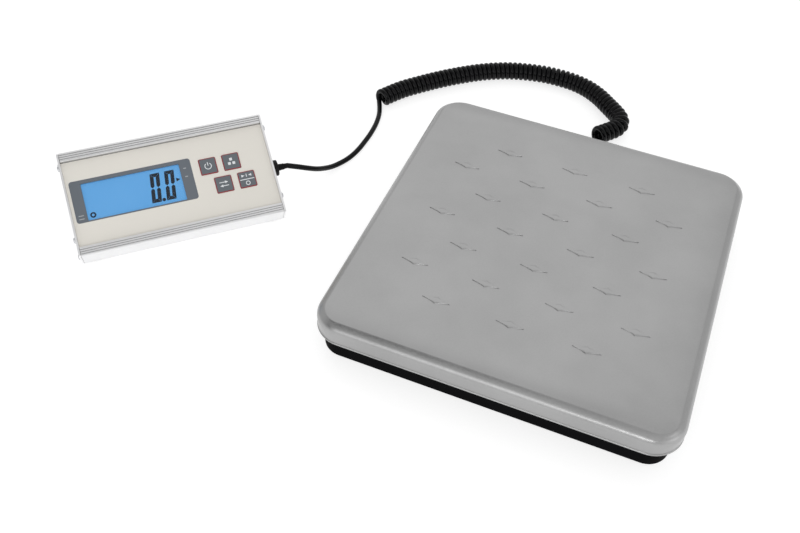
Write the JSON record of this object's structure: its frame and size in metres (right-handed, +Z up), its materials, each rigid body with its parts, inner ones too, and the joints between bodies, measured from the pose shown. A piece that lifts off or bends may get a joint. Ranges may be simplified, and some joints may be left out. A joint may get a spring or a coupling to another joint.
{
  "type": "bench scale",
  "caption": "Low bench scale: a pressed steel pan with raised treads on a black base, a tilted slim display head on a wire stand, and a curly cord between them.",
  "frame": {"origin": "on the surface it stands on, under the centre of the box round the platform and the display head", "axes": "+Z up, -Y towards the platform's front, +X to the right, with the display head at the left"},
  "size_m": [0.5822, 0.446, 0.0677],
  "materials": {
    "pan_steel": "satin",
    "black_plastic": "satin",
    "rubber_black": "matte",
    "zinc_steel": "zinc plated",
    "cell_aluminium": "machined",
    "extrusion": "satin anodised",
    "label_print": "fine texture",
    "window_clear": "clear",
    "display_blue": "lit display",
    "diffuser_white": "frosted",
    "board_green": "solder mask",
    "key_grey": "satin",
    "cell_sleeve": "gloss",
    "cord_black": "satin"
  },
  "bodies": {
    "base": {"base_tray": "black_plastic", "base_foot_front_left": "rubber_black", "base_foot_front_right": "rubber_black", "base_foot_rear_left": "rubber_black", "base_foot_rear_right": "rubber_black", "lower_spacer": "zinc_steel", "load_cell": "cell_aluminium", "fixed_bolt_1": "zinc_steel", "fixed_bolt_2": "zinc_steel", "overload_stop_front_left": "zinc_steel", "overload_stop_front_right": "zinc_steel", "overload_stop_rear_left": "zinc_steel", "overload_stop_rear_right": "zinc_steel", "base_gland": "black_plastic", "cell_cable": "cord_black", "cord_lead": "cord_black", "cord_coil": "cord_black", "cord_tail": "cord_black"},
    "live_frame": {"upper_spacer": "zinc_steel", "spider": "zinc_steel", "live_bolt_1": "zinc_steel", "live_bolt_2": "zinc_steel", "pan_cushion_front_left": "rubber_black", "pan_cushion_front_right": "rubber_black", "pan_cushion_rear_left": "rubber_black", "pan_cushion_rear_right": "rubber_black"},
    "pan": {"pan": "pan_steel"},
    "display_head": {"head_housing": "extrusion", "head_plate_left": "extrusion", "head_plate_right": "extrusion", "plate_screw_left_1": "zinc_steel", "plate_screw_left_2": "zinc_steel", "plate_screw_left_3": "zinc_steel", "plate_screw_left_4": "zinc_steel", "plate_screw_right_1": "zinc_steel", "plate_screw_right_2": "zinc_steel", "plate_screw_right_3": "zinc_steel", "plate_screw_right_4": "zinc_steel", "face_label": "label_print", "window": "window_clear", "lcd_panel": "display_blue", "backlight": "diffuser_white", "main_board": "board_green", "head_gland": "black_plastic", "battery_tray": "black_plastic", "battery_cell_1": "cell_sleeve", "battery_cell_2": "cell_sleeve", "battery_cell_3": "cell_sleeve", "bail_saddle_left": "black_plastic", "bail_saddle_right": "black_plastic", "head_foot_1": "rubber_black", "head_foot_2": "rubber_black", "head_foot_3": "rubber_black", "head_foot_4": "rubber_black"},
    "bail_stand": {"bail_stand": "zinc_steel"},
    "battery_door": {"battery_door": "black_plastic"},
    "key_power": {"key_power": "key_grey"},
    "key_pieces": {"key_pieces": "key_grey"},
    "key_mode": {"key_mode": "key_grey"},
    "key_tare_zero": {"key_tare_zero": "key_grey"}
  },
  "joints": [
    {"name": "weighing_deflection", "type": "slide", "parent": "base", "child": "live_frame", "axis": [0, 0, 1], "range_m": [-0.00025, 0], "stiffness_N_per_m": 4000000},
    {"name": "pan_lift", "type": "slide", "parent": "live_frame", "child": "pan", "axis": [0, 0, 1], "range_m": [0, 0.045]},
    {"name": "head_tilt", "type": "hinge", "parent": "base", "child": "display_head", "pos_m": [-0.1674, -0.085, 0], "axis": [0.7443, 0.6678, 0], "range_deg": [-28, 0]},
    {"name": "bail_fold", "type": "hinge", "parent": "display_head", "child": "bail_stand", "pos_m": [-0.19737, -0.0516, 0.02635], "axis": [0.7443, 0.6678, 0], "range_deg": [0, 69.4]},
    {"name": "battery_door_slide", "type": "slide", "parent": "display_head", "child": "battery_door", "axis": [0.5897, -0.6572, -0.4695], "range_m": [0, 0.017]},
    {"name": "key_power_press", "type": "slide", "parent": "display_head", "child": "key_power", "axis": [-0.3135, 0.3494, -0.8829], "range_m": [0, 0.0005], "stiffness_N_per_m": 4000},
    {"name": "key_pieces_press", "type": "slide", "parent": "display_head", "child": "key_pieces", "axis": [-0.3135, 0.3494, -0.8829], "range_m": [0, 0.0005], "stiffness_N_per_m": 4000},
    {"name": "key_mode_press", "type": "slide", "parent": "display_head", "child": "key_mode", "axis": [-0.3135, 0.3494, -0.8829], "range_m": [0, 0.0005], "stiffness_N_per_m": 4000},
    {"name": "key_tare_zero_press", "type": "slide", "parent": "display_head", "child": "key_tare_zero", "axis": [-0.3135, 0.3494, -0.8829], "range_m": [0, 0.0005], "stiffness_N_per_m": 4000}
  ],
  "couplings": [
    {"joint": "bail_fold", "follows": "head_tilt", "ratio": -2.4768}
  ]
}
